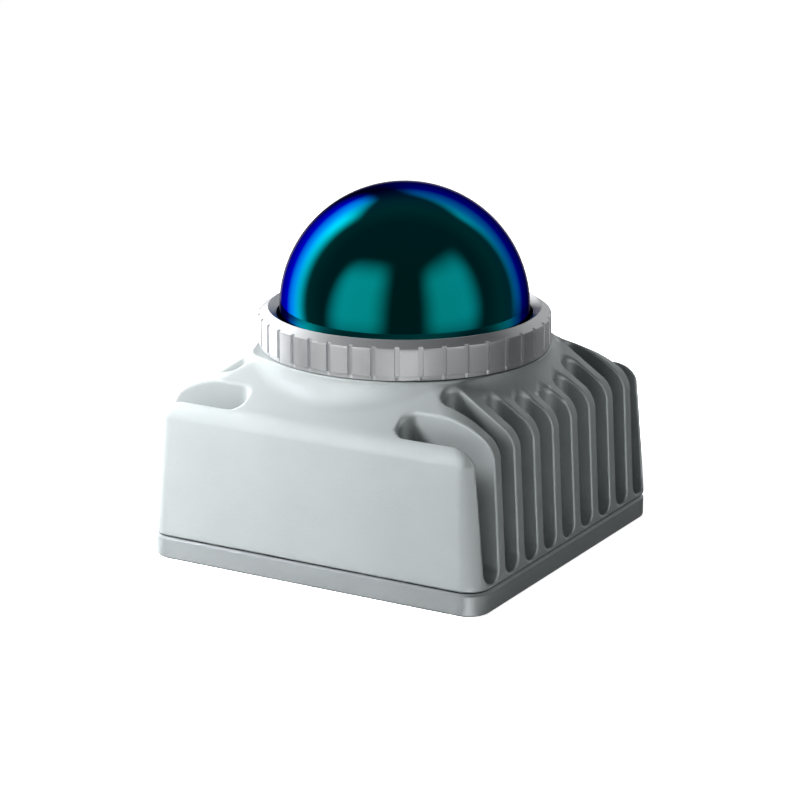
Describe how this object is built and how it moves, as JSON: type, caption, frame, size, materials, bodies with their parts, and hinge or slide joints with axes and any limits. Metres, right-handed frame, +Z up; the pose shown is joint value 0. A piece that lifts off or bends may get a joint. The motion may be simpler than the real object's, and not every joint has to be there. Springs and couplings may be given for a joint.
{
  "type": "lidar sensor",
  "caption": "Compact laser scanner: a finned aluminium housing on a base plate, a dark coated dome window under a grooved clamping ring, and a spinning optics head inside.",
  "frame": {"origin": "centre of the base plate's bottom face", "axes": "+Z up along the dome's axis, -Y towards the plain front, +Y towards the plug connector, +X and -X towards the finned sides"},
  "size_m": [0.065, 0.0745, 0.063],
  "materials": {
    "die_cast_aluminium": "bead-blasted and clear anodised",
    "ring_aluminium": "turned and satin anodised",
    "coated_window": "gloss, thin-film coated, opaque to visible light",
    "seal_rubber": "matt",
    "screw_steel": "plain",
    "nickel_plate": "nickel plated",
    "contact_gold": "gold plated",
    "black_plastic": "moulded",
    "circuit_board": "solder resist",
    "thermal_silicone": "soft, matt",
    "wire_jacket": "smooth",
    "brass": "turned",
    "machined_aluminium": "turned",
    "motor_steel": "ground",
    "copper_wire": "enamelled",
    "ferrite": "sintered",
    "optical_glass": "polished",
    "mirror_coat": "polished"
  },
  "bodies": {
    "enclosure": {"housing": "die_cast_aluminium", "base_plate": "die_cast_aluminium", "base_gasket": "seal_rubber", "window_ring": "ring_aluminium", "dome_window": "coated_window", "dome_gasket": "seal_rubber", "base_screw_1": "screw_steel", "base_screw_2": "screw_steel", "base_screw_3": "screw_steel", "base_screw_4": "screw_steel", "connector_shell": "nickel_plate", "connector_insert": "black_plastic", "connector_nut": "nickel_plate", "connector_seal": "seal_rubber", "connector_pin_1": "contact_gold", "connector_pin_2": "contact_gold", "connector_pin_3": "contact_gold", "connector_pin_4": "contact_gold", "connector_pin_5": "contact_gold", "connector_pin_6": "contact_gold", "connector_pin_7": "contact_gold", "connector_pin_8": "contact_gold", "main_board": "circuit_board", "power_board": "circuit_board", "thermal_pad": "thermal_silicone", "wire_harness": "wire_jacket", "post_low_1": "brass", "post_low_2": "brass", "post_low_3": "brass", "post_mid_1": "brass", "post_mid_2": "brass", "post_mid_3": "brass", "motor_base": "machined_aluminium", "stator_core": "motor_steel", "stator_windings": "copper_wire", "bearing_lower_outer": "motor_steel", "bearing_upper_outer": "motor_steel", "encoder_reader": "black_plastic", "power_coil_fixed": "ferrite", "link_emitter": "black_plastic"},
    "scan_rotor": {"rotor_shaft": "motor_steel", "rotor_cup": "motor_steel", "magnet_ring": "ferrite", "bearing_lower_inner": "motor_steel", "bearing_upper_inner": "motor_steel", "encoder_disc": "motor_steel", "power_coil_rotor": "ferrite", "turntable": "machined_aluminium", "head_frame": "machined_aluminium", "transceiver_board": "circuit_board", "lens_block": "black_plastic", "emit_lens": "optical_glass", "receive_lens": "optical_glass", "mirror_stator": "copper_wire", "link_receiver": "black_plastic", "balance_weight": "brass"},
    "mirror": {"scan_mirror": "mirror_coat", "mirror_hub": "motor_steel"},
    "lower_cage": {"lower_ball_cage": "brass"},
    "upper_cage": {"upper_ball_cage": "brass"}
  },
  "joints": [
    {"name": "azimuth_spin", "type": "hinge", "parent": "enclosure", "child": "scan_rotor", "pos_m": [0, 0, 0.023], "axis": [0, 0, 1], "continuous": true},
    {"name": "mirror_spin", "type": "hinge", "parent": "scan_rotor", "child": "mirror", "pos_m": [0, 0.004, 0.0465], "axis": [1, 0, 0], "continuous": true},
    {"name": "lower_cage_spin", "type": "hinge", "parent": "enclosure", "child": "lower_cage", "pos_m": [0, 0, 0.01825], "axis": [0, 0, 1], "continuous": true},
    {"name": "upper_cage_spin", "type": "hinge", "parent": "enclosure", "child": "upper_cage", "pos_m": [0, 0, 0.02765], "axis": [0, 0, 1], "continuous": true}
  ],
  "couplings": [
    {"joint": "lower_cage_spin", "follows": "azimuth_spin", "ratio": 0.395},
    {"joint": "upper_cage_spin", "follows": "azimuth_spin", "ratio": 0.395}
  ]
}
